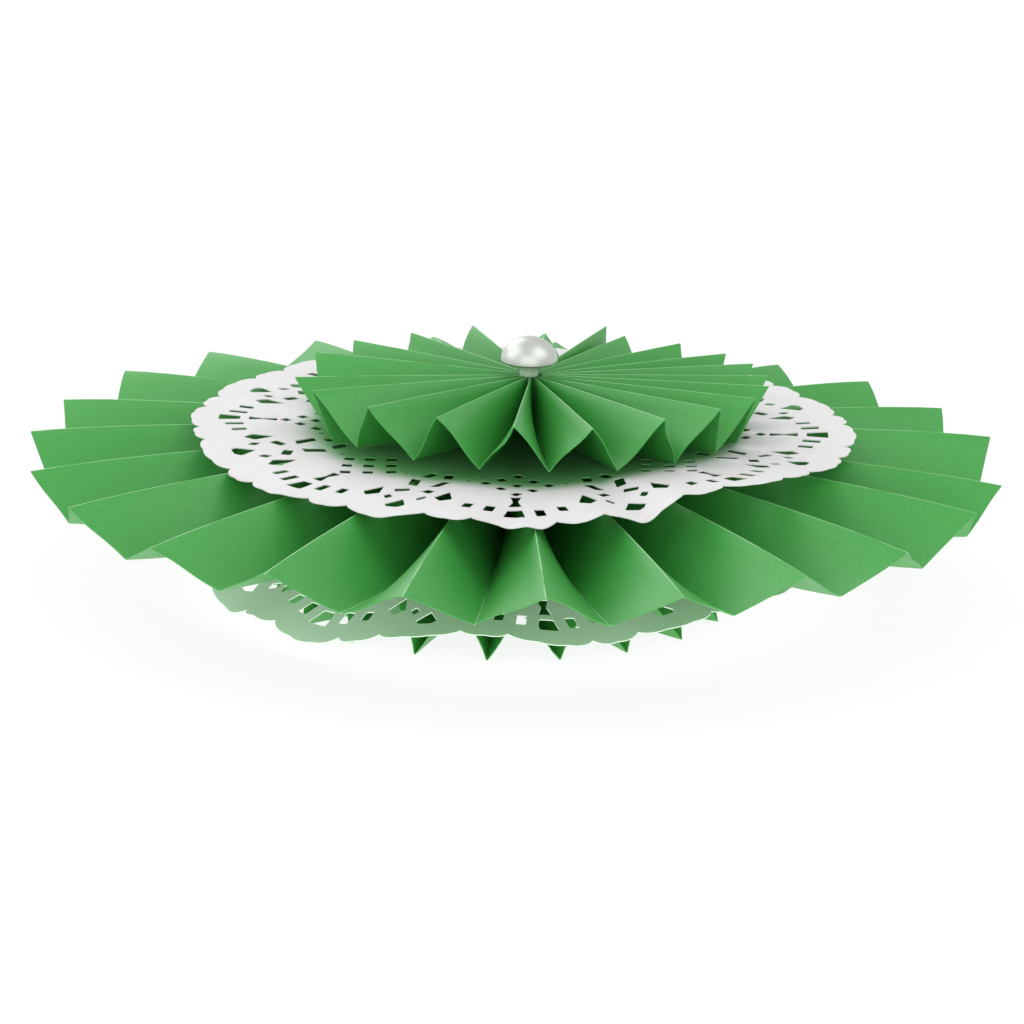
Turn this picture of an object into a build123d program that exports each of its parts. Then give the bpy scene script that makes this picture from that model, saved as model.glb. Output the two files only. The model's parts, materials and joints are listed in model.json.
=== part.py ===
from build123d import *
import math
import os

# Paper fan medallion, lying flat. From the table up: a small pleated fan, a
# lace doily, a large pleated fan, a second doily, a second small fan and a
# half pearl on a glue stem. Lengths are in millimetres, angles in degrees.
# Angles round the medallion start at the front (-Y) and grow towards +X.

# Paper
PAPER = 0.2
GLUE_FILM = 0.1
BEND_SHARES = (0, 0.1, 0.5, 1)

# Large fan. Its upper folds end at MAIN_RADIUS, and the folds between them are
# drawn in by MAIN_TUCK. A pleat is as deep as the paper panel at the hub and
# opens towards the rim
MAIN_RADIUS = 100.0
MAIN_TUCK = 5.0
MAIN_FOLDS = 23
MAIN_HUB = 3.0
MAIN_HUB_DEPTH = 16.0
MAIN_RIM_DEPTH = 7.4
MAIN_DISH = -0.6
MAIN_PHASE = 3.3

# Small fans. The upper one shows its face, and the lower one lies face down
SMALL_RADIUS = 48.7
SMALL_TUCK = 5.4
SMALL_FOLDS = 21
SMALL_HUB = 2.2
SMALL_HUB_DEPTH = 11.0
SMALL_RIM_DEPTH = 10.2

# Where the hand-folded pleats wander from even spacing: waves round the fan,
# each as degrees of drift, waves in one turn and the angle where it starts
MAIN_DRIFT = ((0.9, 1, 16.0), (-0.3, 2, 0.0), (0.85, 3, -44.0))
UPPER_DRIFT = ((-11.7, 1, 122.0), (-2.3, 2, -5.0))
EVEN = ()

# The upper fan sits a little to the right and leans back
UPPER_SHIFT = 3.0
UPPER_LEAN_ANGLE = 2.5
UPPER_DISH = 1.25
UPPER_PHASE = -13.0
UPPER_REST_GAP = 0.35

# The lower fan is the foot of the medallion
LOWER_SHIFT = (-2.9, -4.9)
LOWER_DISH = 1.6
LOWER_PHASE = 10.5

# Lace doilies. The rim is notched between lobes that swell outwards from it
DOILY_LOBES = 16
DOILY_NOTCH_RADIUS = 65.5
DOILY_BIG_SWELL = 3.2
DOILY_SMALL_SWELL = 2.5
DOILY_BIG_ANGLE = 14.5

# The lower doily leans down to the left and is turned a little. The upper one
# sits a little to the right
LOWER_DOILY_LEAN_ANGLE = 2.0
LOWER_DOILY_TURN_ANGLE = 6.7
LOWER_DOILY_LEAN_GAP = 0.15
UPPER_DOILY_SHIFT = 1.5

# Punched holes of the lace. STEP_IN is how far inside the notches the middle of
# a hole lies, ANGLE how far it stands to each side of its motif's middle
TRAPEZOID_STEP_IN = 6.4
TRAPEZOID_LENGTH = 3.8
TRAPEZOID_WIDTH = 3.8
TRAPEZOID_NECK = 2.4
HOURGLASS_STEP_IN = 14.4
HOURGLASS_LENGTH = 5.0
HOURGLASS_WIDTH = 2.4
HOURGLASS_WAIST = 0.8
DIAMOND_STEP_IN = 7.7
DIAMOND_LENGTH = 3.6
DIAMOND_WIDTH = 2.6
DIAMOND_ANGLES = (4.7, 9.2)
BIG_DIAMOND_STEP_IN = 12.0
BIG_DIAMOND_LENGTH = 6.0
BIG_DIAMOND_WIDTH = 3.6
BIG_DIAMOND_ANGLE = 14.5
KITE_STEP_IN = 6.4
KITE_LENGTH = 4.6
KITE_WIDTH = 3.8
LEAF_STEP_IN = 9.5
LEAF_LENGTH = 2.8
LEAF_WIDTH = 2.0
LEAF_SLANT = 0.8
LEAF_ANGLE = 3.4
WING_STEP_IN = 14.5
WING_LENGTH = 3.6
WING_WIDTH = 3.1
WING_SLANT = 1.0
WING_ANGLE = 3.2

# Hot glue: a plug in each hub, a thick dab under the large fan and the stem of
# the pearl. What meets the leaning doily is made longer and trimmed along it
PLUG_CLEARANCE = 0.3
DOILY_TRIM = 1.0
DAB_HEIGHT = 4.3
DAB_RADIUS = 7.5
STEM_WAIST = 1.6
STEM_FOOT = 2.0
STEM_HEAD = 2.4
STEM_HEIGHT = 2.5

# Half pearl
PEARL_RADIUS = 5.8
PEARL_HEIGHT = 5.2
PEARL_EDGE = 0.3
PEARL_SHIFT = 2.4


# Heights of the layers, from the table up
lower_fan_z = LOWER_DISH + SMALL_RIM_DEPTH / 2
lower_doily_z = lower_fan_z + SMALL_HUB_DEPTH / 2 + GLUE_FILM + LOWER_DOILY_LEAN_GAP
main_fan_z = lower_doily_z + PAPER + DAB_HEIGHT + MAIN_HUB_DEPTH / 2
upper_doily_z = main_fan_z + MAIN_HUB_DEPTH / 2 + GLUE_FILM
upper_fan_z = upper_doily_z + PAPER + UPPER_REST_GAP + SMALL_HUB_DEPTH / 2
stem_z = upper_fan_z + SMALL_HUB_DEPTH / 2 + PLUG_CLEARANCE
pearl_z = stem_z + STEM_HEIGHT

lower_fan_plane = Plane((*LOWER_SHIFT, lower_fan_z), x_dir=(1, 0, 0), z_dir=(0, 0, -1))
lower_doily_plane = Plane(
    Location((0, 0, lower_doily_z), (0, -LOWER_DOILY_LEAN_ANGLE, LOWER_DOILY_TURN_ANGLE))
)
main_fan_plane = Plane.XY.offset(main_fan_z)
upper_doily_plane = Plane((UPPER_DOILY_SHIFT, 0, upper_doily_z))
upper_fan_plane = Plane(Location((UPPER_SHIFT, 0, upper_fan_z), (-UPPER_LEAN_ANGLE, 0, 0)))


def fold_angle(fold, folds, phase, drift):
    """Angle of an upper fold. A whole number is an upper fold, a half is an under fold."""
    angle = phase + 360 * fold / folds
    waves = [reach * math.sin(math.radians(count * (angle - start))) for reach, count, start in drift]
    return angle + sum(waves)


def folded_ring(layer, radius, tuck, hub, hub_depth, rim_depth, folds, phase, dish, drift):
    """A strip of paper folded into a full ring of pleats, as one closed solid.

    Each pleat stands up at the hub and opens towards the rim, so each panel
    twists a little, and it takes the twist in short flat bends. The paper
    measured up and down is thickest where the panels stand steepest, at the hub.
    """
    edges = []
    for half_fold in range(2 * folds):
        before, angle, after = [
            fold_angle(half_fold / 2 + step, folds, phase, drift) for step in (-0.5, 0, 0.5)
        ]
        opening = math.radians(after - before) / 2
        side = 1 if half_fold % 2 == 0 else -1
        reach = radius - hub if side == 1 else radius - tuck - hub
        edge = []
        for share in BEND_SHARES:
            r = hub + reach * share
            depth = math.sqrt(hub_depth**2 + (rim_depth**2 - hub_depth**2) * share**2)
            outer = dish * share + side * depth / 2
            inner = outer - side * PAPER * math.hypot(depth, opening * r) / (opening * r)
            upper, under = max(outer, inner), min(outer, inner)
            at = polar(r, angle - 90)
            edge.append([layer.from_local_coords(Vector(*at, z)) for z in (upper, under)])
        edges.append(edge)

    faces = []
    for half_fold in range(2 * folds):
        pair = [edges[half_fold], edges[(half_fold + 1) % (2 * folds)]]
        mountain, valley = pair if half_fold % 2 == 0 else pair[::-1]
        for bend in range(len(BEND_SHARES) - 1):
            for side in (0, 1):
                corners = [edge[bend + out][side] for edge in (mountain, valley) for out in (0, 1)]
                faces.append(flat_face(corners[0], corners[1], corners[2]))
                faces.append(flat_face(corners[1], corners[3], corners[2]))
        for end in (0, -1):
            faces.append(flat_face(*mountain[end], *valley[end][::-1]))
    return Solid(Shell(faces))


def flat_face(*corners):
    """A flat face with straight sides."""
    return Face(Wire.make_polygon(corners))


def lace_doily(layer):
    """Cut a scalloped sheet with its punched lace, inside a part block."""
    step = 360 / DOILY_LOBES
    half_big = DOILY_BIG_ANGLE / 2
    half_small = step / 2 - half_big
    rim = []
    for lobe in range(DOILY_LOBES):
        middle = lobe * step - 90
        for centre, half, swell, cuts in (
            (middle, half_big, DOILY_BIG_SWELL, 4),
            (middle + step / 2, half_small, DOILY_SMALL_SWELL, 3),
        ):
            for cut in range(cuts):
                along = 2 * cut / cuts - 1
                reach = DOILY_NOTCH_RADIUS + swell * math.sqrt(1 - along**2)
                rim.append(polar(reach, centre + along * half))
    with BuildSketch(layer) as sheet:
        with BuildLine():
            Polyline(*rim, close=True)
        make_face()
        lace_holes()
    extrude(sheet.sketch, amount=PAPER)


def polar(radius, angle):
    """A point on the layer at a radius and an angle from its X axis."""
    return (
        radius * math.cos(math.radians(angle)),
        radius * math.sin(math.radians(angle)),
    )


def punch(step_in, angle, repeats, points):
    """Punch one hole in every repeat, its points given outwards and sideways."""
    with PolarLocations(DOILY_NOTCH_RADIUS - step_in, repeats, angle - 90):
        Polygon(*points, align=None, mode=Mode.SUBTRACT)


def punch_pair(step_in, middle, aside, repeats, length, width, slant=0.0):
    """Punch a diamond to each side of the motif's middle, one the mirror of the other."""
    for side in (-1, 1):
        lean = side * slant
        points = [(-length / 2, -lean), (0, width / 2), (length / 2, lean), (0, -width / 2)]
        punch(step_in, middle + side * aside, repeats, points)


def lace_holes():
    """Punch the holes of the lace: two motifs that take turns under the big lobes."""
    repeats = DOILY_LOBES // 2
    between = 180 / repeats

    # First motif: a trapezoid over an hourglass, with a row of diamonds to each side
    end, neck, width = TRAPEZOID_LENGTH / 2, TRAPEZOID_NECK / 2, TRAPEZOID_WIDTH / 2
    trapezoid = [(-end, -neck), (-end, neck), (end, width), (end, -width)]
    punch(TRAPEZOID_STEP_IN, 0, repeats, trapezoid)
    end, width, waist = HOURGLASS_LENGTH / 2, HOURGLASS_WIDTH / 2, HOURGLASS_WAIST / 2
    half = [(-end, -width), (0, -waist), (end, -width)]
    punch(HOURGLASS_STEP_IN, 0, repeats, half + [(x, -y) for x, y in half[::-1]])
    for angle in DIAMOND_ANGLES:
        punch_pair(DIAMOND_STEP_IN, 0, angle, repeats, DIAMOND_LENGTH, DIAMOND_WIDTH)
    big_diamond = (BIG_DIAMOND_LENGTH, BIG_DIAMOND_WIDTH)
    punch_pair(BIG_DIAMOND_STEP_IN, 0, BIG_DIAMOND_ANGLE, repeats, *big_diamond)

    # Second motif: a kite over a pair of leaves and a pair of wings
    end, width = KITE_LENGTH / 2, KITE_WIDTH / 2
    punch(KITE_STEP_IN, between, repeats, [(-end, 0), (end / 2, width), (end, 0), (end / 2, -width)])
    leaf = (LEAF_LENGTH, LEAF_WIDTH, LEAF_SLANT)
    punch_pair(LEAF_STEP_IN, between, LEAF_ANGLE, repeats, *leaf)
    wing = (WING_LENGTH, WING_WIDTH, WING_SLANT)
    punch_pair(WING_STEP_IN, between, WING_ANGLE, repeats, *wing)


with BuildPart() as lower_fan:
    add(
        folded_ring(
            lower_fan_plane,
            SMALL_RADIUS,
            SMALL_TUCK,
            SMALL_HUB,
            SMALL_HUB_DEPTH,
            SMALL_RIM_DEPTH,
            SMALL_FOLDS,
            LOWER_PHASE,
            LOWER_DISH,
            EVEN,
        )
    )
lower_fan.part.label = "lower_fan"

with BuildPart() as lower_doily:
    lace_doily(lower_doily_plane)
lower_doily.part.label = "lower_doily"

with BuildPart() as main_fan:
    add(
        folded_ring(
            main_fan_plane,
            MAIN_RADIUS,
            MAIN_TUCK,
            MAIN_HUB,
            MAIN_HUB_DEPTH,
            MAIN_RIM_DEPTH,
            MAIN_FOLDS,
            MAIN_PHASE,
            MAIN_DISH,
            MAIN_DRIFT,
        )
    )
main_fan.part.label = "main_fan"

with BuildPart() as upper_doily:
    lace_doily(upper_doily_plane)
upper_doily.part.label = "upper_doily"

with BuildPart() as upper_fan:
    add(
        folded_ring(
            upper_fan_plane,
            SMALL_RADIUS,
            SMALL_TUCK,
            SMALL_HUB,
            SMALL_HUB_DEPTH,
            SMALL_RIM_DEPTH,
            SMALL_FOLDS,
            UPPER_PHASE,
            UPPER_DISH,
            UPPER_DRIFT,
        )
    )
upper_fan.part.label = "upper_fan"

with BuildPart() as lower_glue:
    with BuildSketch(Plane((*LOWER_SHIFT, lower_fan_z - SMALL_HUB_DEPTH / 2))):
        Circle(SMALL_HUB - PLUG_CLEARANCE)
    extrude(amount=SMALL_HUB_DEPTH + DOILY_TRIM)
    split(bisect_by=lower_doily_plane, keep=Keep.BOTTOM)
lower_glue.part.label = "lower_glue"

with BuildPart() as main_glue:
    dab_bottom = lower_doily_z - DOILY_TRIM
    dab_top = main_fan_z - MAIN_HUB_DEPTH / 2 - GLUE_FILM
    plug = MAIN_HUB - PLUG_CLEARANCE
    with BuildSketch(Plane.XZ):
        with BuildLine():
            Polyline(
                (0, dab_bottom),
                (DAB_RADIUS, dab_bottom),
                (DAB_RADIUS, dab_top),
                (plug, dab_top),
                (plug, upper_doily_z),
                (0, upper_doily_z),
                close=True,
            )
        make_face()
    revolve(axis=Axis.Z)
    split(bisect_by=lower_doily_plane.offset(PAPER), keep=Keep.TOP)
main_glue.part.label = "main_glue"

with BuildPart() as upper_glue:
    plug_z = upper_doily_z + PAPER
    with BuildSketch(Plane((UPPER_SHIFT, 0, plug_z))):
        Circle(SMALL_HUB - PLUG_CLEARANCE)
    extrude(amount=stem_z - plug_z)
    with BuildSketch(Plane((PEARL_SHIFT, 0, stem_z), x_dir=(1, 0, 0), z_dir=(0, -1, 0))):
        with BuildLine():
            Polyline(
                (0, 0),
                (STEM_FOOT, 0),
                (STEM_WAIST, STEM_HEIGHT / 2),
                (STEM_HEAD, STEM_HEIGHT),
                (0, STEM_HEIGHT),
                close=True,
            )
        make_face()
    revolve(axis=Axis((PEARL_SHIFT, 0, 0), (0, 0, 1)))
upper_glue.part.label = "upper_glue"

with BuildPart() as half_pearl:
    with BuildSketch(Plane((PEARL_SHIFT, 0, pearl_z), x_dir=(1, 0, 0), z_dir=(0, -1, 0))):
        with BuildLine():
            rise = PEARL_HEIGHT - PEARL_EDGE
            dome = (PEARL_RADIUS**2 + rise**2) / (2 * rise)
            RadiusArc((PEARL_RADIUS, PEARL_EDGE), (0, PEARL_HEIGHT), -dome)
            Polyline(
                (0, PEARL_HEIGHT), (0, 0), (PEARL_RADIUS - PEARL_EDGE, 0), (PEARL_RADIUS, PEARL_EDGE)
            )
        make_face()
    revolve(axis=Axis((PEARL_SHIFT, 0, 0), (0, 0, 1)))
half_pearl.part.label = "half_pearl"

pieces = [
    lower_fan,
    lower_glue,
    lower_doily,
    main_fan,
    main_glue,
    upper_doily,
    upper_fan,
    upper_glue,
    half_pearl,
]

os.makedirs("parts", exist_ok=True)
for piece in pieces:
    export_step(piece.part, f"parts/{piece.part.label}.step")
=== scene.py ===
import json
import math
import random

import bmesh
import bpy
from mathutils import Matrix, Vector, noise

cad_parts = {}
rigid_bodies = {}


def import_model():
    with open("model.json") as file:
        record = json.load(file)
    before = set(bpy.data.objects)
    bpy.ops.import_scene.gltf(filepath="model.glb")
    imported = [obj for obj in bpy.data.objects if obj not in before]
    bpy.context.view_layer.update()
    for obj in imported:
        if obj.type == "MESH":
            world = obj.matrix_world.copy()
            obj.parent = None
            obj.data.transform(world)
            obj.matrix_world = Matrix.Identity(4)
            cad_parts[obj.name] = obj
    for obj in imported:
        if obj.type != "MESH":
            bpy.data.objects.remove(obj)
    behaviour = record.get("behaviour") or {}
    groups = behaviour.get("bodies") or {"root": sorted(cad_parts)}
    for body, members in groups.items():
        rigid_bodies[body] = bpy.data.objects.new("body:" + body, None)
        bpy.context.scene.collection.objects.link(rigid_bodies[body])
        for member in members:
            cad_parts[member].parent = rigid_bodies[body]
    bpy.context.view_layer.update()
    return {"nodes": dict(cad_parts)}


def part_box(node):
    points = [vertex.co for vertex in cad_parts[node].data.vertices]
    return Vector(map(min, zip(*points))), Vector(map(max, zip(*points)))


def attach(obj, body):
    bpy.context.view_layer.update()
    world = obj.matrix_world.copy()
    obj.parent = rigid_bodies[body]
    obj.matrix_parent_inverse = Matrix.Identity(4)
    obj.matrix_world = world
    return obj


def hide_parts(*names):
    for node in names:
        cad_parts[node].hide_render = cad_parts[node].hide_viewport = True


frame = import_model()

# Lower fan: a strip of green craft paper, dyed right through, pleated by hand
# and glued end to end into a ring. It lies face down as the foot of the
# medallion, on the tips of its folds.
PAPER = 0.0002
FOLD_SOFTNESS = 0.0002
PANELS_ACROSS = 6
PANELS_ALONG = 18
CREASE_SHAKE = 0.1
SAME_POINT = 0.000001
SMOOTH_BELOW = math.radians(35)

# A strip has the radii of its rim and hub, the tuck by which its under folds
# stop short of the rim, the depth of its pleats at hub and rim, and its folds.
SMALL_STRIP = {
    "radius": 0.0487,
    "hub": 0.0022,
    "tuck": 0.0054,
    "hub_depth": 0.011,
    "rim_depth": 0.0102,
    "folds": 21,
}
LOWER_HAND = {
    "phase": 10.5,
    "dish": (0.00135, 0.0013),
    "play": 0.00015,
    "flex": 0.0004,
}
LOWER_SHIFT = (-0.0029, -0.0049)
LOWER_HUB_RISE = 0.0016


def only(piece):
    """Leave this piece alone selected and active."""
    for other in bpy.context.view_layer.objects:
        other.select_set(False)
    piece.select_set(True)
    bpy.context.view_layer.objects.active = piece


def edit_whole(piece):
    """Open the piece in edit mode with all of it selected."""
    only(piece)
    bpy.ops.object.mode_set(mode="EDIT")
    bpy.ops.mesh.select_all(action="SELECT")


def apply_all(piece):
    """Apply the piece's modifiers in their order."""
    only(piece)
    for modifier in list(piece.modifiers):
        bpy.ops.object.modifier_apply(modifier=modifier.name)


def waves(angle, terms):
    """Waves round a fan: each has its reach, how often it comes in one turn and where it starts."""
    return sum(reach * math.sin(math.radians(count * (angle - start))) for reach, count, start in terms)


def pulled(angle, pulls):
    """Change near each place where something is shifted, spread or pressed together."""
    change = 0
    for shift, spread, width, centre in pulls:
        off = (angle - centre + 180) % 360 - 180
        change += (shift + spread * off) * math.exp(-((off / width) ** 2))
    return change


def hand_folds(name, strip, hand):
    """The creases of a fan, over and under by turns, from its first fold at the phase.

    A hand has the dish of its over and under folds, the play of their tips and
    the flex of the panels. It may also have drift waves and pulls, which move
    folds sideways, and a lift and raised places for the tips of the over
    folds, or a sag and sunk places for those of the under folds.
    """
    shaky = random.Random(name)
    play, flex = hand["play"], hand["flex"]
    creases = []
    for half_fold in range(2 * strip["folds"]):
        over = half_fold % 2 == 0
        angle = hand["phase"] + 180 * half_fold / strip["folds"]
        lift = waves(angle, hand.get("lift" if over else "sag", ()))
        lift += pulled(angle, hand.get("raised" if over else "sunk", ()))
        angle += waves(angle, hand.get("drift", ())) + pulled(angle, hand.get("pulls", ()))
        tuck = 0 if over else strip["tuck"]
        creases.append(
            {
                "up": 1 if over else -1,
                "angle": math.radians(angle - 90 + shaky.uniform(-CREASE_SHAKE, CREASE_SHAKE)),
                "reach": strip["radius"] - strip["hub"] - tuck + shaky.uniform(-play, play),
                "lift": hand["dish"][0 if over else 1] + lift + shaky.uniform(-play, play),
                "bow": shaky.uniform(-flex, flex),
                "wave": shaky.uniform(-flex, flex),
            }
        )
    return creases


def on_crease(strip, crease, share):
    """The place on a crease at this share of its way from the hub to its tip."""
    hub_depth, rim_depth = strip["hub_depth"], strip["rim_depth"]
    depth = math.sqrt(hub_depth**2 + (rim_depth**2 - hub_depth**2) * share**2)
    radius = strip["hub"] + crease["reach"] * share
    height = crease["lift"] * share + crease["up"] * depth / 2
    return Vector((radius * math.cos(crease["angle"]), radius * math.sin(crease["angle"]), height))


def pleat(sheet, strip, creases, layer):
    """Move each point of the flat grid to its place between two creases, and mark the creases."""
    is_crease = sheet.attributes.new("is_crease", "FLOAT", "POINT")
    for vertex in sheet.vertices:
        column = round((vertex.co.x + 0.5) * len(creases) * PANELS_ACROSS)
        share = vertex.co.y + 0.5
        panel, across = divmod(column, PANELS_ACROSS)
        across /= PANELS_ACROSS
        one, other = creases[panel % len(creases)], creases[(panel + 1) % len(creases)]
        start, end = on_crease(strip, one, share), on_crease(strip, other, share)
        flex = one["bow"] * math.sin(math.pi * across) + one["wave"] * math.sin(2 * math.pi * across)
        side = (end - start).cross(Vector((start.x, start.y, 0))).normalized()
        is_crease.data[vertex.index].value = float(column % PANELS_ACROSS == 0)
        vertex.co = layer @ (start.lerp(end, across) + side * flex * share**2)


def soften_creases(ring):
    """Join the ends of the ring and round each marked crease a little."""
    edit_whole(ring)
    bpy.ops.mesh.remove_doubles(threshold=SAME_POINT)
    bpy.ops.mesh.select_all(action="DESELECT")
    paper = bmesh.from_edit_mesh(ring.data)
    mark = paper.verts.layers.float["is_crease"]
    for edge in paper.edges:
        edge.select_set(all(end[mark] == 1 for end in edge.verts))
    bmesh.update_edit_mesh(ring.data)
    bpy.ops.mesh.bevel(offset=FOLD_SOFTNESS, segments=2, profile=0.5, affect="EDGES", clamp_overlap=True)
    bpy.ops.object.mode_set(mode="OBJECT")


def folded_ring(name, strip, hand, layer):
    """A flat strip of paper, pleated, closed into a ring and laid in its layer."""
    creases = hand_folds(name, strip, hand)
    bpy.ops.object.select_all(action="DESELECT")
    bpy.ops.mesh.primitive_grid_add(
        size=1, x_subdivisions=len(creases) * PANELS_ACROSS, y_subdivisions=PANELS_ALONG
    )
    ring = bpy.context.object
    ring.name = name
    pleat(ring.data, strip, creases, layer)
    soften_creases(ring)
    thickness = ring.modifiers.new("paper", "SOLIDIFY")
    thickness.thickness = PAPER
    thickness.offset = 0
    thickness.material_offset_rim = 1
    apply_all(ring)
    bpy.ops.object.shade_smooth_by_angle(angle=SMOOTH_BELOW)
    return ring


def new_material(name):
    """A material with nothing but its Principled shader, and that shader's node."""
    material = bpy.data.materials.new(name)
    material.use_nodes = True
    return material, material.node_tree.nodes["Principled BSDF"]


def new_group(name, inputs, outputs):
    """A shader node group with its named sockets, each with its type and value."""
    group = bpy.data.node_groups.new(name, "ShaderNodeTree")
    for label, kind, value in inputs:
        socket = group.interface.new_socket(label, in_out="INPUT", socket_type=kind)
        if value is not None:
            socket.default_value = value
    for label, kind in outputs:
        group.interface.new_socket(label, in_out="OUTPUT", socket_type=kind)
    entry = group.nodes.new("NodeGroupInput")
    leave = group.nodes.new("NodeGroupOutput")
    return group, entry, leave


def add_node(tree, kind, **settings):
    """A node with its settings."""
    node = tree.nodes.new(kind)
    for label, value in settings.items():
        setattr(node, label, value)
    return node


def feed(tree, value, socket):
    """Give a socket its value: another node's output or a constant."""
    if isinstance(value, bpy.types.NodeSocket):
        tree.links.new(value, socket)
    else:
        socket.default_value = value


def calculate(tree, operation, *values):
    """The result of a maths node on outputs and constants."""
    node = add_node(tree, "ShaderNodeMath", operation=operation)
    for value, socket in zip(values, node.inputs):
        feed(tree, value, socket)
    return node.outputs[0]


def mix_colour(tree, share, first, second):
    """The colour between two others at a share. Each is an output or a constant.

    The node has its share at socket 0, its colours at 6 and 7, and puts their
    mix out at 2. The others are for numbers and vectors.
    """
    mix = add_node(tree, "ShaderNodeMix", data_type="RGBA")
    for value, socket in ((share, mix.inputs[0]), (first, mix.inputs[6]), (second, mix.inputs[7])):
        feed(tree, value, socket)
    return mix.outputs[2]


def ramp(tree, value, low, high):
    """A mask that climbs from 0 to 1 between two levels of a value."""
    step = add_node(tree, "ShaderNodeMapRange", interpolation_type="SMOOTHSTEP")
    step.inputs["From Min"].default_value = low
    step.inputs["From Max"].default_value = high
    tree.links.new(value, step.inputs["Value"])
    return step.outputs["Result"]


def paper_grain_group():
    """Fibres of uncoated paper: masks of pale flecks and of clouds, and a fine bump normal."""
    group, entry, leave = new_group(
        "paper_grain",
        [
            ("Vector", "NodeSocketVector", None),
            ("Fibres per metre", "NodeSocketFloat", 2500.0),
            ("Depth", "NodeSocketFloat", 0.3),
        ],
        [("Flecks", "NodeSocketFloat"), ("Clouds", "NodeSocketFloat"), ("Normal", "NodeSocketVector")],
    )
    fine = add_node(group, "ShaderNodeTexNoise")
    fine.inputs["Detail"].default_value = 5
    fine.inputs["Roughness"].default_value = 0.65
    clouds = add_node(group, "ShaderNodeTexNoise")
    clouds.inputs["Scale"].default_value = 90
    clouds.inputs["Detail"].default_value = 3
    bump = add_node(group, "ShaderNodeBump")
    bump.inputs["Distance"].default_value = 0.0001
    for output, socket in (
        (entry.outputs["Vector"], fine.inputs["Vector"]),
        (entry.outputs["Vector"], clouds.inputs["Vector"]),
        (entry.outputs["Fibres per metre"], fine.inputs["Scale"]),
        (entry.outputs["Depth"], bump.inputs["Strength"]),
        (fine.outputs["Fac"], bump.inputs["Height"]),
        (fine.outputs["Fac"], leave.inputs["Flecks"]),
        (clouds.outputs["Fac"], leave.inputs["Clouds"]),
        (bump.outputs["Normal"], leave.inputs["Normal"]),
    ):
        group.links.new(output, socket)
    return group


paper_grain = paper_grain_group()


def grained(tree, place):
    """The paper grain as a node, with its pattern at this place."""
    grain = add_node(tree, "ShaderNodeGroup", node_tree=paper_grain)
    tree.links.new(place, grain.inputs["Vector"])
    return grain


GREEN = (0.037, 0.302, 0.042, 1)
GREEN_PALE = (0.050, 0.343, 0.057, 1)
# The palest green: the fibres of the cut edge, and the thin paler lines along the creases.
GREEN_PALEST = (0.30, 0.60, 0.29, 1)
CREASE_PALE_WIDTH = 0.012


def green_paper(name, folds):
    """Green craft paper that turns a paler green in patches along each crease."""
    material, shader = new_material(name)
    tree = material.node_tree
    place = add_node(tree, "ShaderNodeTexCoord")
    grain = grained(tree, place.outputs["Object"])
    body = mix_colour(tree, ramp(tree, grain.outputs["Flecks"], 0.3, 0.7), GREEN, GREEN_PALE)

    along_strip = add_node(tree, "ShaderNodeSeparateXYZ")
    tree.links.new(place.outputs["UV"], along_strip.inputs[0])
    # A paler green in patches along each crease, mountain and valley alike.
    panels = calculate(tree, "MULTIPLY", along_strip.outputs["X"], 2 * folds)
    from_crease = calculate(tree, "PINGPONG", panels, 0.5)
    at_crease = ramp(tree, from_crease, CREASE_PALE_WIDTH, CREASE_PALE_WIDTH / 3)
    in_patches = ramp(tree, grain.outputs["Clouds"], 0.25, 0.5)
    pale_at_crease = calculate(tree, "MULTIPLY", at_crease, in_patches)

    feed(tree, mix_colour(tree, pale_at_crease, body, GREEN_PALEST), shader.inputs["Base Color"])
    feed(tree, grain.outputs["Normal"], shader.inputs["Normal"])
    shader.inputs["Roughness"].default_value = 0.45
    shader.inputs["Specular IOR Level"].default_value = 0.6
    return material


def cut_edge(name):
    """The pale cut edge of the green paper, where its fibres show."""
    material, shader = new_material(name)
    tree = material.node_tree
    place = add_node(tree, "ShaderNodeTexCoord")
    grain = grained(tree, place.outputs["Object"])
    fibres = ramp(tree, grain.outputs["Flecks"], 0.35, 0.65)
    feed(tree, mix_colour(tree, fibres, GREEN_PALE, GREEN_PALEST), shader.inputs["Base Color"])
    feed(tree, grain.outputs["Normal"], shader.inputs["Normal"])
    shader.inputs["Roughness"].default_value = 0.85
    return material


green_edge = cut_edge("green_cut_edge")
green_small = green_paper("green_paper_small", SMALL_STRIP["folds"])

lower_middle = LOWER_HUB_RISE + SMALL_STRIP["rim_depth"] / 2
face_down = Matrix.Translation((*LOWER_SHIFT, lower_middle)) @ Matrix.Rotation(math.pi, 4, "X")
lower_fan = folded_ring("lower_fan_paper", SMALL_STRIP, LOWER_HAND, face_down)
for material in (green_small, green_edge):
    lower_fan.data.materials.append(material)
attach(lower_fan, "root")
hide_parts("lower_fan")

# Lower doily: a round of thin white paper, its scalloped rim and lace holes
# punched and its ribs embossed in one press. It is held in its middle by hot
# glue, and beyond the lower fan its margin hangs down.
NOTCH_RADIUS = 0.0655
BIG_LOBES = 16
BIG_SWELL = 0.0024
BIG_FLUTES = 3
SMALL_SWELL = 0.0020
SMALL_FLUTES = 2
BIG_SHARE = 14.5 / 22.5
FLUTE = 0.00035
RIM_POINTS = 1152

MOTIF_REPEATS = 8
HOLE_CORNER = 0.0003
TRAPEZOID = ((-0.0022, -0.0014), (-0.0022, 0.0014), (0.0022, 0.0022), (0.0022, -0.0022))
KITE = ((-0.0027, 0), (0.0011, 0.0022), (0.0024, 0.0013), (0.0024, -0.0013), (0.0011, -0.0022))
LONG_KITE = ((-0.0034, 0), (0.0013, 0.0019), (0.0034, 0), (0.0013, -0.0019))
HOURGLASS = (
    (-0.0029, -0.0012), (0, -0.0005), (0.0029, -0.0014),
    (0.0029, 0.0014), (0, 0.0005), (-0.0029, 0.0012),
)
LATTICE_RADIUS = 0.0424
LATTICE_PITCH = 0.0044
LATTICE_HOLE = 0.0021

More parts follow.
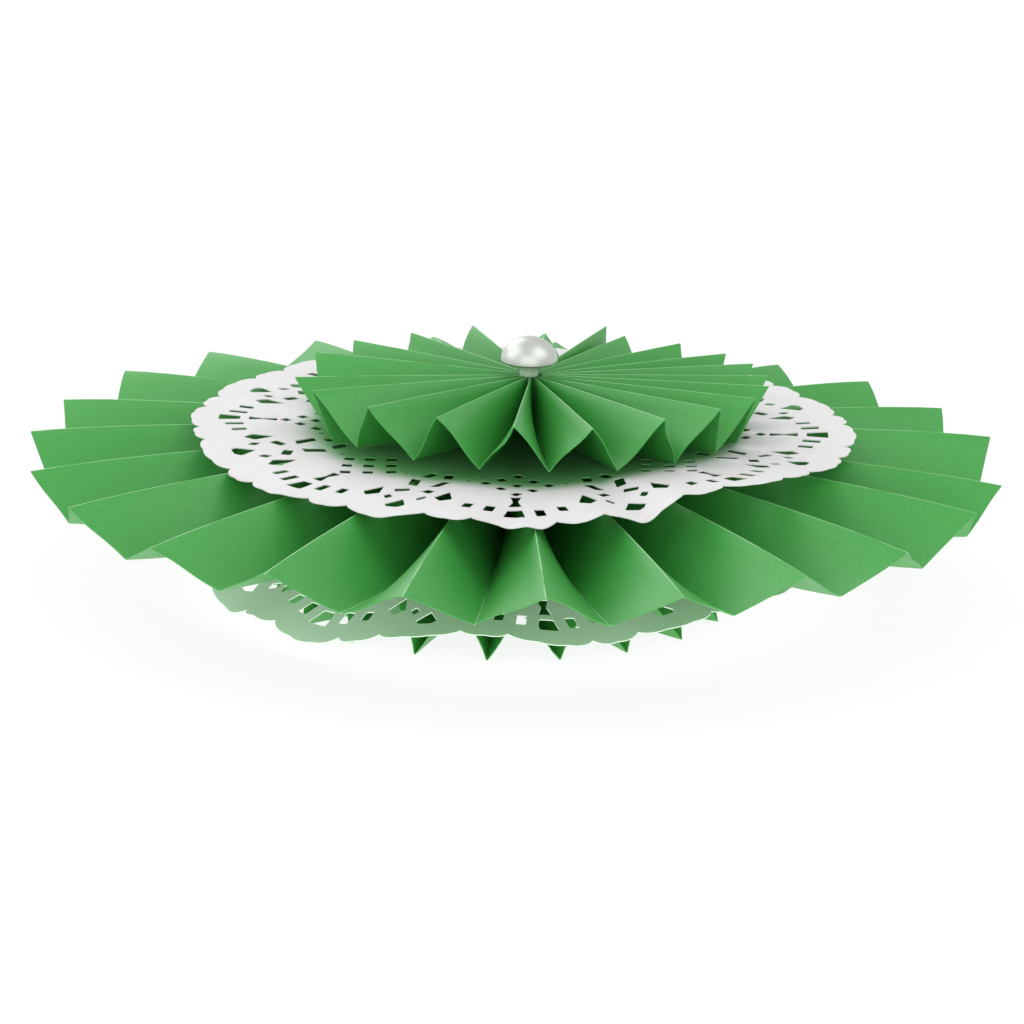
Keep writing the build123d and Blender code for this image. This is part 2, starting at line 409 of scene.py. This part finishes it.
WEAVE = 0.004
WEAVE_OFF_CENTRE = 0.00017
DRAWN_IN = 0.6
DRAWN_IN_FROM = 0.02
CRUMPLE = 0.00025
CRUMPLES_PER_METRE = 90


def slanted(length, width, slant):
    """The corners of a four-sided hole, outwards and sideways, its outer end moved by the slant."""
    end, half = length / 2, width / 2
    return ((-end, -half - slant), (-end, half - slant), (end, half + slant), (end, -half + slant))


def diamond(length, width, slant=0.0):
    """The corners of a diamond hole, outwards and sideways, its long axis leaning by the slant."""
    return ((-length / 2, -slant), (0, width / 2), (length / 2, slant), (0, -width / 2))


def lace_holes():
    """Each hole of the lace: its corners, radius, angle from the motif's middle and motif's turn."""
    first, second = 0, 180 / MOTIF_REPEATS
    holes = [(TRAPEZOID, 0.0603, 0, first), (HOURGLASS, 0.0534, 0, first), (KITE, 0.0600, 0, second)]
    for side in (-1, 1):
        holes += [
            (slanted(0.0038, 0.0020, side * 0.0002), 0.0591, side * 4.8, first),
            (slanted(0.0031, 0.0019, side * 0.0002), 0.0583, side * 9.1, first),
            (LONG_KITE, 0.0548, side * 14.6, first),
            (diamond(0.0032, 0.0021, side * -0.0003), 0.0568, side * 3.6, second),
            (diamond(0.0036, 0.0034, side * 0.0007), 0.0519, side * 3.1, second),
            (slanted(0.0045, 0.0021, side * -0.0007), 0.0461, side * 3.5, second),
            (slanted(0.0033, 0.0019, side * 0.0004), 0.0405, side * 2.8, second),
            (diamond(0.0016, 0.0012), 0.0418, side * 13.2, first),
        ]
    turned_row = math.sqrt(0.5) * LATTICE_PITCH
    turned_hole = LATTICE_HOLE * math.sqrt(2)
    for row in (-1, 0, 1):
        for column in (-1, 0, 1):
            radius = LATTICE_RADIUS + (row + column) * turned_row
            aside = math.degrees((row - column) * turned_row / radius)
            holes.append((diamond(turned_hole, turned_hole), radius, aside, first))
    return holes


def stand_up(height):
    """Extrude the flat piece that is open in edit mode, and close its edit."""
    bpy.ops.mesh.extrude_region_move(TRANSFORM_OT_translate={"value": (0, 0, height)})
    bpy.ops.mesh.select_all(action="SELECT")
    bpy.ops.mesh.normals_make_consistent(inside=False)
    bpy.ops.object.mode_set(mode="OBJECT")


def scalloped_round(name):
    """A flat round of paper with big and small lobes by turns, each with fine flutes on its edge."""
    bpy.ops.object.select_all(action="DESELECT")
    bpy.ops.mesh.primitive_circle_add(vertices=RIM_POINTS, radius=NOTCH_RADIUS, fill_type="NGON")
    sheet = bpy.context.object
    sheet.name = name
    for vertex in sheet.data.vertices:
        turn = math.degrees(math.atan2(vertex.co.x, -vertex.co.y))
        along = (turn * BIG_LOBES / 360 + BIG_SHARE / 2) % 1
        if along < BIG_SHARE:
            swell, flutes, along = BIG_SWELL, BIG_FLUTES, along / BIG_SHARE
        else:
            swell, flutes, along = SMALL_SWELL, SMALL_FLUTES, (along - BIG_SHARE) / (1 - BIG_SHARE)
        bulge = swell * math.sqrt(max(0, 1 - (2 * along - 1) ** 2))
        bulge += FLUTE * abs(math.sin(math.pi * flutes * along))
        vertex.co *= (NOTCH_RADIUS + bulge) / vertex.co.length
    edit_whole(sheet)
    stand_up(PAPER)
    return sheet


def lace_punches():
    """The punches of all the lace holes as one piece, which stands through the paper."""
    punch_mesh = bpy.data.meshes.new("lace_punches")
    outlines = bmesh.new()
    for corners, radius, aside, turn in lace_holes():
        for repeat in range(MOTIF_REPEATS):
            angle = math.radians(aside + turn + 360 * repeat / MOTIF_REPEATS - 90)
            out = Vector((math.cos(angle), math.sin(angle), 0))
            sideways = Vector((-out.y, out.x, 0))
            points = [out * (radius + x) + sideways * y for x, y in corners]
            outlines.faces.new([outlines.verts.new(point) for point in points])
    outlines.to_mesh(punch_mesh)
    outlines.free()
    punches = bpy.data.objects.new("lace_punches", punch_mesh)
    bpy.context.collection.objects.link(punches)
    edit_whole(punches)
    bpy.ops.mesh.bevel(offset=HOLE_CORNER, segments=2, affect="VERTICES")
    bpy.ops.mesh.select_all(action="SELECT")
    bpy.ops.transform.translate(value=(0, 0, -PAPER))
    stand_up(3 * PAPER)
    return punches


def weave(sheet):
    """Cut the flat faces of the sheet along a square grid, so that it can bend."""
    edit_whole(sheet)
    steps = round(NOTCH_RADIUS / WEAVE) + 1
    for across in ((1, 0, 0), (0, 1, 0)):
        for step in range(-steps, steps + 1):
            bpy.ops.mesh.select_all(action="SELECT")
            at = Vector(across) * (step * WEAVE + WEAVE_OFF_CENTRE)
            bpy.ops.mesh.bisect(plane_co=at, plane_no=across)
    bpy.ops.object.mode_set(mode="OBJECT")


def punched_sheet(name):
    """A flat scalloped round of paper with every lace hole cut through it."""
    sheet = scalloped_round(name)
    punches = lace_punches()
    cut = sheet.modifiers.new("lace", "BOOLEAN")
    cut.operation = "DIFFERENCE"
    cut.solver = "EXACT"
    cut.object = punches
    apply_all(sheet)
    bpy.data.objects.remove(punches)
    weave(sheet)
    return sheet


def drape(sheet, layer, turn, lift_at):
    """Turn the flat doily, lift each point by its radius and angle, and keep its flat place."""
    flat_place = sheet.data.attributes.new("flat_place", "FLOAT_VECTOR", "POINT")
    for vertex in sheet.data.vertices:
        flat_place.data[vertex.index].vector = vertex.co
        vertex.co.rotate(Matrix.Rotation(math.radians(turn), 3, "Z"))
        radius = math.hypot(vertex.co.x, vertex.co.y)
        angle = math.degrees(math.atan2(vertex.co.x, -vertex.co.y))
        lift = lift_at(radius, angle)
        reach = max(radius, DRAWN_IN_FROM)
        kept_reach = 1 - DRAWN_IN * lift**2 / reach / reach
        vertex.co.x *= kept_reach
        vertex.co.y *= kept_reach
        crumple = noise.noise(Vector((vertex.co.x, vertex.co.y, 0)) * CRUMPLES_PER_METRE)
        vertex.co.z += lift + CRUMPLE * crumple * radius / NOTCH_RADIUS
        vertex.co = layer @ vertex.co
    only(sheet)
    bpy.ops.object.shade_smooth_by_angle(angle=SMOOTH_BELOW)


WHITE_PAPER = (0.73, 0.73, 0.73, 1)
WHITE_BLUSH = (0.72, 0.69, 0.69, 1)
# Painted light: the lower doily is lighter and greener all over than white paper, for the green light
# that bounces onto it.
PAINTED_GREEN_BOUNCE_LIGHT = (0.84, 0.95, 0.84, 1)
RIB_COUNT = 416
RIB_START = 0.0608
RIB_FULL = 0.0623


def white_lace(name, painted_tint, painted_radii, painted_glow):
    """Thin white paper, embossed with fine ribs across its lobes.

    Inwards between two radii it turns to a painted tint: painted green shade
    under the upper fan on the upper doily, painted green bounce light all
    over the lower doily. A faint painted glow of its own stands in for the
    light that it lets through from the floor.
    """
    material, shader = new_material(name)
    tree = material.node_tree
    place = add_node(tree, "ShaderNodeAttribute", attribute_name="flat_place")
    grain = grained(tree, place.outputs["Vector"])
    grain.inputs["Fibres per metre"].default_value = 1800
    grain.inputs["Depth"].default_value = 0.35

    flat = add_node(tree, "ShaderNodeSeparateXYZ")
    tree.links.new(place.outputs["Vector"], flat.inputs[0])
    around = calculate(tree, "ARCTAN2", flat.outputs["Y"], flat.outputs["X"])
    crests = calculate(tree, "SINE", calculate(tree, "MULTIPLY", around, RIB_COUNT))
    outwards = add_node(tree, "ShaderNodeVectorMath", operation="LENGTH")
    tree.links.new(place.outputs["Vector"], outwards.inputs[0])
    radius = outwards.outputs["Value"]
    emboss = add_node(tree, "ShaderNodeBump")
    emboss.inputs["Strength"].default_value = 0.12
    emboss.inputs["Distance"].default_value = 0.0001
    ribs = calculate(tree, "MULTIPLY", crests, ramp(tree, radius, RIB_START, RIB_FULL))
    feed(tree, ribs, emboss.inputs["Height"])
    feed(tree, grain.outputs["Normal"], emboss.inputs["Normal"])
    feed(tree, emboss.outputs["Normal"], shader.inputs["Normal"])

    plain = mix_colour(tree, ramp(tree, grain.outputs["Clouds"], 0.45, 0.75), WHITE_PAPER, WHITE_BLUSH)
    # Painted light and shade: between the radii the paper's colour turns to the painted tint, and the
    # same colour glows at the painted glow's strength.
    colour = mix_colour(tree, ramp(tree, radius, *painted_radii), plain, painted_tint)
    feed(tree, colour, shader.inputs["Base Color"])
    feed(tree, colour, shader.inputs["Emission Color"])
    shader.inputs["Emission Strength"].default_value = painted_glow
    shader.inputs["Roughness"].default_value = 0.75
    shader.inputs["Specular IOR Level"].default_value = 0.25
    return material


LOWER_DOILY_GAP = 0.00025
LOWER_DOILY_LEAN = math.radians(-2)
LOWER_DOILY_TURN = 6.7
# Painted light: the lower doily glows faintly, in place of the light from the floor through its thin
# paper.
LOWER_PAINTED_GLOW = 0.09
# Both radii lie outside the doily, so its painted green bounce light is all over it.
PAINTED_ALL_OVER_RADII = (0.2, 0.1)
HANG_START = 0.0468
HANG_END = 0.0675
HANG = 0.0024
HANG_WAVES = ((0.0003, 5, 10),)
HANG_PLACES = ((0.0049, 0, 16, -37), (0.0030, 0, 5, -57), (0.0028, 0, 13, 14))


def margin_hangs(radius, angle):
    """The margin hangs down most at the left of the front, in uneven waves."""
    hang = HANG + waves(angle, HANG_WAVES) + pulled(angle, HANG_PLACES)
    return -hang * max(0, (radius - HANG_START) / (HANG_END - HANG_START)) ** 0.9


lower_doily_z = lower_middle + SMALL_STRIP["hub_depth"] / 2 + LOWER_DOILY_GAP
lower_layer = Matrix.Translation((0, 0, lower_doily_z)) @ Matrix.Rotation(LOWER_DOILY_LEAN, 4, "Y")
lower_doily = punched_sheet("lower_doily_lace")
drape(lower_doily, lower_layer, LOWER_DOILY_TURN, margin_hangs)
# Its material paints green bounce light all over it, and a faint painted glow.
lower_doily.data.materials.append(
    white_lace("lace_white_lower", PAINTED_GREEN_BOUNCE_LIGHT, PAINTED_ALL_OVER_RADII, LOWER_PAINTED_GLOW)
)
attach(lower_doily, "root")
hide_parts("lower_doily")

# Large fan: the same green paper in a wide strip, 23 pleats, glued end to end
# into a ring round a core of hot glue. Its folds wander a little from even
# spacing, as hand-folded paper does.
MAIN_STRIP = {
    "radius": 0.100,
    "hub": 0.003,
    "tuck": 0.005,
    "hub_depth": 0.016,
    "rim_depth": 0.0074,
    "folds": 23,
}
MAIN_HAND = {
    "phase": 3.3,
    "dish": (-0.0006, -0.0006),
    "play": 0.0001,
    "flex": 0.0003,
    "drift": ((0.9, 1, 16.0), (-0.3, 2, 0.0), (0.85, 3, -44.0)),
    "pulls": ((-3.5, 0, 8, 81.6),),
    "lift": ((0.0011, 2, 33), (0.0004, 3, -42), (0.00045, 11, -6.4)),
}

main_low, main_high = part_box("main_fan")
main_z = (main_low.z + main_high.z) / 2
main_fan = folded_ring("main_fan_paper", MAIN_STRIP, MAIN_HAND, Matrix.Translation((0, 0, main_z)))
for material in (green_paper("green_paper_large", MAIN_STRIP["folds"]), green_edge):
    main_fan.data.materials.append(material)
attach(main_fan, "root")
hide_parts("main_fan")

# Upper doily: a second lace doily of the same kind, glued flat on the hub of
# the large fan, with its margin resting along the folds.
UPPER_DOILY_SHIFT = 0.0015
UPPER_DOILY_TURN = -1.3
REST_DEPTH = 0.00155
CURL = 0.0005
CURL_WAVES = ((0.0018, 2, 0), (0.0009, 6, -35))
RIPPLES = (
    (0.0007, 0, 6, -43), (-0.0012, 0, 5, -24.5), (-0.0006, 0, 6, -10), (-0.0012, 0, 3, -2),
    (-0.0013, 0, 2.5, 3.5), (-0.0005, 0, 3, 9), (0.0004, 0, 2, 13), (-0.0019, 0, 3, 20.5),
    (0.0009, 0, 3, 28), (0.0008, 0, 4, 35),
)
# Painted shade: inwards of these radii the upper doily turns deep green under the upper fan, for its
# shadow and the green light of the paper round it.
PAINTED_GREEN_SHADE = (0.14, 0.42, 0.15, 1)
PAINTED_SHADE_RADII = (0.0475, 0.0405)


def margin_waves(radius, angle):
    """The margin curls up at the right of the front and dips at its left, where it meets the folds.

    Its lobes ripple along the front, and it lies flat at the back.
    """
    share = radius / NOTCH_RADIUS
    front = min(1, max(0, 0.6 + math.cos(math.radians(angle))))
    curl = (CURL + waves(angle, CURL_WAVES)) * front
    return max(curl * share**2 + pulled(angle, RIPPLES) * share**4, -REST_DEPTH * share**2.2)


upper_doily_low, upper_doily_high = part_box("upper_doily")
upper_layer = Matrix.Translation((UPPER_DOILY_SHIFT, 0, upper_doily_low.z))
upper_doily = punched_sheet("upper_doily_lace")
drape(upper_doily, upper_layer, UPPER_DOILY_TURN, margin_waves)
# Its material paints deep green shade on it under the upper fan.
upper_doily.data.materials.append(
    white_lace("lace_white_upper", PAINTED_GREEN_SHADE, PAINTED_SHADE_RADII, painted_glow=0.0)
)
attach(upper_doily, "root")
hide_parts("upper_doily")

# Upper fan: a small fan like the lower one, its face up. It sits a little to
# the right and leans back, and its pleats are crowded together at the back.
UPPER_SHIFT = 0.003
UPPER_LEAN = math.radians(-2.5)
UPPER_FAN_GAP = 0.00035
UPPER_HAND = {
    "phase": -13.0,
    "dish": (0.00035, 0.00075),
    "play": 0.0002,
    "flex": 0.0004,
    "drift": ((13.1, 1, -61.4), (1.6, 2, 81.6), (1.25, 3, 27.1)),
    "pulls": (
        (0, 0.717, 16, -90), (5.5, 0, 4, -73), (-4.0, 0, 8, -64),
        (2.0, 0, 7, 141.3), (0, -0.774, 14, 168), (-2.4, 0, 6, -167.3),
    ),
    "lift": ((0.0005, 1, -90),),
    "raised": ((0.0009, 0, 6, -150), (-0.0008, 0, 6, -167.3), (0.0014, 0, 6, 175.6), (-0.0009, 0, 14, 0)),
    "sag": ((-0.0005, 1, -90),),
    "sunk": ((-0.0014, 0, 22, 78), (-0.0013, 0, 4, -73)),
}
upper_z = upper_doily_high.z + UPPER_FAN_GAP + SMALL_STRIP["hub_depth"] / 2
leaning = Matrix.Translation((UPPER_SHIFT, 0, upper_z)) @ Matrix.Rotation(UPPER_LEAN, 4, "X")
upper_fan = folded_ring("upper_fan_paper", SMALL_STRIP, UPPER_HAND, leaning)
for material in (green_small, green_edge):
    upper_fan.data.materials.append(material)
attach(upper_fan, "root")
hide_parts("upper_fan")

# Hot glue: cloudy white glue that fills each hub, stands out in a thick dab
# under the large fan, and rises above the small fan as the pearl's stem.
GLUE_CLEAR = (0.40, 0.58, 0.40, 1)
GLUE_CLOUD = (0.52, 0.68, 0.50, 1)
STEM_STEPS = 48
STEM_HEIGHT = 0.0025
STEM = (
    (0.0019, -0.0004), (0.0019, 0.0001), (0.00172, 0.0004), (0.00166, 0.0010),
    (0.00172, 0.0017), (0.0021, 0.0022), (0.0024, 0.0025),
)
PLUG_RADIUS = 0.0005
PLUG_BELOW_FOOT = 0.0006


def hot_glue(name):
    """Cloudy glue that lets a little light in."""
    material, shader = new_material(name)
    tree = material.node_tree
    place = add_node(tree, "ShaderNodeTexCoord")
    clouds = add_node(tree, "ShaderNodeTexNoise")
    clouds.inputs["Scale"].default_value = 500
    tree.links.new(place.outputs["Object"], clouds.inputs["Vector"])
    cloudy = mix_colour(tree, clouds.outputs["Fac"], GLUE_CLEAR, GLUE_CLOUD)
    feed(tree, cloudy, shader.inputs["Base Color"])
    shader.inputs["Roughness"].default_value = 0.28
    shader.inputs["Subsurface Weight"].default_value = 0.3
    shader.inputs["Subsurface Radius"].default_value = (0.001, 0.001, 0.001)
    return material


glue = hot_glue("hot_glue_cloudy")
for node in ("lower_glue", "main_glue"):
    frame["nodes"][node].data.materials.clear()
    frame["nodes"][node].data.materials.append(glue)


def turned(name, profile, centre, steps):
    """Spin a profile of radius and height points round an upright axis."""
    mesh = bpy.data.meshes.new(name)
    points = [(centre[0] + radius, centre[1], height) for radius, height in profile]
    mesh.from_pydata(points, [(i, i + 1) for i in range(len(points) - 1)], [])
    piece = bpy.data.objects.new(name, mesh)
    bpy.context.collection.objects.link(piece)
    edit_whole(piece)
    bpy.ops.mesh.spin(steps=steps, angle=2 * math.pi, center=(centre[0], centre[1], 0), axis=(0, 0, 1))
    bpy.ops.mesh.select_all(action="SELECT")
    bpy.ops.mesh.remove_doubles(threshold=SAME_POINT)
    bpy.ops.mesh.normals_make_consistent(inside=False)
    bpy.ops.object.mode_set(mode="OBJECT")
    bpy.ops.object.shade_smooth_by_angle(angle=math.radians(40))
    return piece


pearl_low, pearl_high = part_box("half_pearl")
pearl_at = ((pearl_low.x + pearl_high.x) / 2, (pearl_low.y + pearl_high.y) / 2)
glue_low, glue_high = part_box("upper_glue")
stem_foot = glue_high.z - STEM_HEIGHT
stem_profile = [(0, glue_low.z), (PLUG_RADIUS, glue_low.z), (PLUG_RADIUS, stem_foot - PLUG_BELOW_FOOT)]
stem_profile += [(radius, stem_foot + height) for radius, height in STEM] + [(0, glue_high.z)]
stem = turned("pearl_stem_glue", stem_profile, pearl_at, STEM_STEPS)
stem.data.materials.append(glue)
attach(stem, "root")
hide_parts("upper_glue")

# Half pearl: a flat-backed plastic half round, dipped in pearl lacquer. Its
# flat back is pressed into the hot glue of the stem.
PEARL_BACK_SHARE = 0.95
PEARL_EDGE = 0.0003
PEARL_STEPS = 96
DOME_STEPS = 28
PEARL_GREY = (0.58, 0.61, 0.56, 1)
PEARL_SILVER = (0.65, 0.68, 0.63, 1)


def pearl_lacquer(name):
    """Silver-white plastic under a pearly lacquer."""
    material, shader = new_material(name)
    tree = material.node_tree
    place = add_node(tree, "ShaderNodeTexCoord")
    clouds = add_node(tree, "ShaderNodeTexNoise")
    clouds.inputs["Scale"].default_value = 220
    tree.links.new(place.outputs["Object"], clouds.inputs["Vector"])
    lacquer = mix_colour(tree, clouds.outputs["Fac"], PEARL_GREY, PEARL_SILVER)
    feed(tree, lacquer, shader.inputs["Base Color"])
    shader.inputs["Metallic"].default_value = 0.8
    shader.inputs["Roughness"].default_value = 0.38
    shader.inputs["Coat Weight"].default_value = 0.4
    shader.inputs["Coat Roughness"].default_value = 0.25
    return material


pearl_radius = (pearl_high.x - pearl_low.x) / 2
pearl_height = pearl_high.z - pearl_low.z
dome_foot = pearl_low.z + PEARL_EDGE
dome = [(0, pearl_low.z), (pearl_radius * PEARL_BACK_SHARE, pearl_low.z), (pearl_radius, dome_foot)]
for step in range(1, DOME_STEPS + 1):
    rise = math.radians(90 * step / DOME_STEPS)
    dome.append((pearl_radius * math.cos(rise), dome_foot + (pearl_height - PEARL_EDGE) * math.sin(rise)))
pearl = turned("half_pearl_dome", dome, pearl_at, PEARL_STEPS)
pearl.data.materials.append(pearl_lacquer("pearl_lacquer"))
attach(pearl, "root")
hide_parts("half_pearl")

# Floor: a plain pale studio sweep. It is lit softly and keeps the shadow of
# the medallion, and the rest of it shows as plain white.
FLOOR_SIZE = 6.0
FLOOR_GLOW = 0.88
FLOOR_BOUNCE = 0.75
FLOOR_WHITE = (0.85, 0.85, 0.85, 1)
FLOOR_SHADOWED = (0.14, 0.14, 0.14, 1)

bpy.ops.object.select_all(action="DESELECT")
bpy.ops.mesh.primitive_plane_add(size=FLOOR_SIZE, location=(0, 0, 0))
floor = bpy.context.object
floor.name = "studio_floor"
floor_material, floor_shader = new_material("studio_white")
floor_shader.inputs["Roughness"].default_value = 0.9
floor_shader.inputs["Specular IOR Level"].default_value = 0.0
floor_shader.inputs["Emission Color"].default_value = (1, 1, 1, 1)
tree = floor_material.node_tree
rays = add_node(tree, "ShaderNodeLightPath")
seen = rays.outputs["Is Camera Ray"]
for kind in ("Is Glossy Ray", "Is Transmission Ray"):
    seen = calculate(tree, "MAXIMUM", seen, rays.outputs[kind])
glow = calculate(tree, "MULTIPLY_ADD", seen, FLOOR_GLOW - FLOOR_BOUNCE, FLOOR_BOUNCE)
feed(tree, mix_colour(tree, seen, FLOOR_WHITE, FLOOR_SHADOWED), floor_shader.inputs["Base Color"])
feed(tree, glow, floor_shader.inputs["Emission Strength"])
floor.data.materials.append(floor_material)

# Studio light: a pale room, a large soft box to each side for the highlights
# on the pearl, a smaller one behind, and the largest low in front, where it
# lights the undersides.
ROOM_LIGHT = 0.74

world = bpy.data.worlds.new("studio_room")
bpy.context.scene.world = world
world.use_nodes = True
room = world.node_tree.nodes["Background"]
room.inputs["Color"].default_value = (1, 1, 1, 1)
room.inputs["Strength"].default_value = ROOM_LIGHT


def soft_box(name, size, off, middle, power):
    """A square area lamp that stands off the middle of the medallion and faces it."""
    lamp = bpy.data.lights.new(name, "AREA")
    lamp.shape = "SQUARE"
    lamp.size = size
    lamp.energy = power
    box = bpy.data.objects.new(name, lamp)
    bpy.context.collection.objects.link(box)
    box.location = middle + Vector(off)
    box.rotation_euler = Vector(off).to_track_quat("Z", "Y").to_euler()


middle = Vector((0, 0, main_z))
soft_box("left_box", 0.95, (-0.79, 0.05, 0.60), middle, 2.9)
soft_box("right_box", 0.8, (0.56, -0.25, 0.79), middle, 2.1)
soft_box("back_box", 0.6, (-0.45, 0.85, 0.55), middle, 2.1)
soft_box("front_box", 1.6, (0.0, -1.15, 0.20), middle, 7.0)

# Camera: a long lens at the front, looking down a little, and rolled so that
# the right-hand side of the medallion hangs lower in the picture.
CAMERA_ELEVATION = math.radians(16.2)
CAMERA_ROLL = math.radians(1.42)
CAMERA_DISTANCE = 1.0
CAMERA_AIM_ASIDE = -0.00058
CAMERA_AIM_UP = -0.00929
LENS_LENGTH = 171.04
SENSOR_WIDTH = 36

lens = bpy.data.cameras.new("photo_camera")
lens.sensor_width = SENSOR_WIDTH
lens.lens = LENS_LENGTH
lens.clip_start = 0.01
camera = bpy.data.objects.new("photo_camera", lens)
bpy.context.collection.objects.link(camera)
camera.rotation_mode = "ZYX"
camera.rotation_euler = (math.pi / 2 - CAMERA_ELEVATION, 0, CAMERA_ROLL)
turn = camera.rotation_euler.to_matrix()
camera.location = middle + turn @ Vector((CAMERA_AIM_ASIDE, CAMERA_AIM_UP, CAMERA_DISTANCE))
bpy.context.scene.camera = camera
bpy.context.scene.view_settings.view_transform = "Standard"
